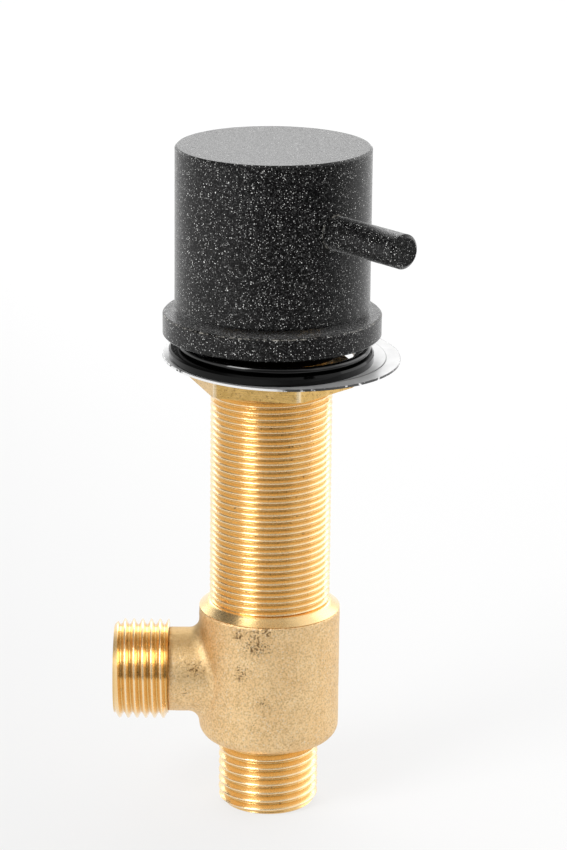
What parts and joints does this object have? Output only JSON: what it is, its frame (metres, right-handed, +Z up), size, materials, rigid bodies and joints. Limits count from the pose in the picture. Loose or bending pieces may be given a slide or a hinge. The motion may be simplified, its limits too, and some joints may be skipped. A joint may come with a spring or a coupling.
{
  "type": "deck-mounted shut-off valve",
  "caption": "Deck-mounted shut-off valve: speckled black lever knob on a long threaded brass stem above a cast tee with a bottom inlet and a side outlet.",
  "frame": {"origin": "centre of the inlet bore at the end face of the bottom thread", "axes": "+Z up the stem to the knob, -X along the outlet branch"},
  "size_m": [0.0598, 0.0566, 0.1396],
  "materials": {
    "body_brass": "sand-cast tee with turned, bright threads, lightly stained",
    "bright_brass": "turned",
    "nut_brass": "dull, lightly stained",
    "black_coat": "matte black granite-effect powder coat with fine pale flecks",
    "steel": "thin bright pressed sheet",
    "rubber": "smooth, slightly glossy",
    "ceramic": "lapped",
    "plastic": "moulded",
    "seal_plastic": "low-friction sheet",
    "hard_steel": "dark"
  },
  "bodies": {
    "valve": {"valve_body": "body_brass", "seat_seal": "rubber", "fixed_disc": "ceramic", "cartridge_cage": "bright_brass", "cartridge_oring": "rubber", "spacer_sleeve": "bright_brass", "gland_nut": "bright_brass", "top_flange": "bright_brass", "collar": "black_coat"},
    "control": {"moving_disc": "ceramic", "disc_driver": "plastic", "spindle": "bright_brass", "spindle_oring_lower": "rubber", "spindle_oring_upper": "rubber", "thrust_washer": "seal_plastic", "circlip": "hard_steel", "stop_ring": "bright_brass", "knob_insert": "plastic", "knob": "black_coat", "lever_pin": "black_coat", "grub_screw": "hard_steel"},
    "washer_stack": {"steel_washer": "steel", "deck_gasket": "rubber", "deck_oring": "rubber"},
    "nut": {"lock_nut": "nut_brass"}
  },
  "joints": [
    {"name": "knob_turn", "type": "hinge", "parent": "valve", "child": "control", "pos_m": [0, 0, 0.1254], "axis": [0, 0, 1], "range_deg": [0, 90]},
    {"name": "clamp_travel", "type": "slide", "parent": "valve", "child": "washer_stack", "axis": [0, 0, -1], "range_m": [0, 0.04145]},
    {"name": "nut_turn", "type": "hinge", "parent": "washer_stack", "child": "nut", "pos_m": [0, 0, 0.0933], "axis": [0, 0, -1], "range_deg": [0, 11160]}
  ],
  "couplings": [
    {"joint": "clamp_travel", "follows": "nut_turn", "m_per_rad": 0.00021276}
  ]
}
